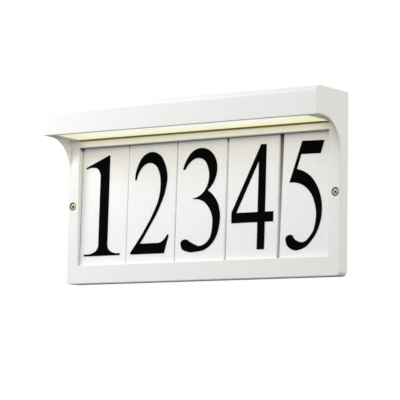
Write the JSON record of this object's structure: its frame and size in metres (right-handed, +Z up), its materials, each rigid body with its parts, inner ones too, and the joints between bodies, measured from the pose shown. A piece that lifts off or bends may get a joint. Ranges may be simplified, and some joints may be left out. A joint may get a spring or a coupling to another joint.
{
  "type": "house number plaque",
  "caption": "Lit house number plaque: white frame with a deep canopy over a row of leaning number tiles, a glowing diffuser below the canopy and brass face screws.",
  "frame": {"origin": "centre of the wall plate's back face, on the wall plane, half-way up the plaque", "axes": "+X to the right along the plaque as a visitor reads it, +Y into the wall, +Z up"},
  "size_m": [0.345, 0.0584, 0.186],
  "materials": {
    "frame_white": "satin white powder coat",
    "tile_white": "satin white",
    "numeral_black": "black",
    "lens_milky": "milky, lit from inside",
    "screw_brass": "dull",
    "plate_steel": "zinc plated",
    "screw_steel": "zinc plated",
    "gasket_foam": "closed-cell foam",
    "grommet_rubber": "matt",
    "board_white": "white solder mask",
    "led_yellow": "silicone filled",
    "driver_case": "fine grain",
    "terminal_grey": "moulded"
  },
  "bodies": {
    "root": {"housing": "frame_white", "tile_1": "tile_white", "tile_2": "tile_white", "tile_3": "tile_white", "tile_4": "tile_white", "tile_5": "tile_white", "numeral_1": "numeral_black", "numeral_2": "numeral_black", "numeral_3": "numeral_black", "numeral_4": "numeral_black", "numeral_5": "numeral_black", "diffuser_lens": "lens_milky", "face_screws": "screw_brass", "wall_plate": "plate_steel", "wall_gasket": "gasket_foam", "cable_grommet": "grommet_rubber", "earth_screw": "screw_brass", "led_board": "board_white", "leds": "led_yellow", "board_screws": "screw_steel", "driver": "driver_case", "driver_screws": "screw_steel", "terminal_block": "terminal_grey"}
  },
  "joints": []
}
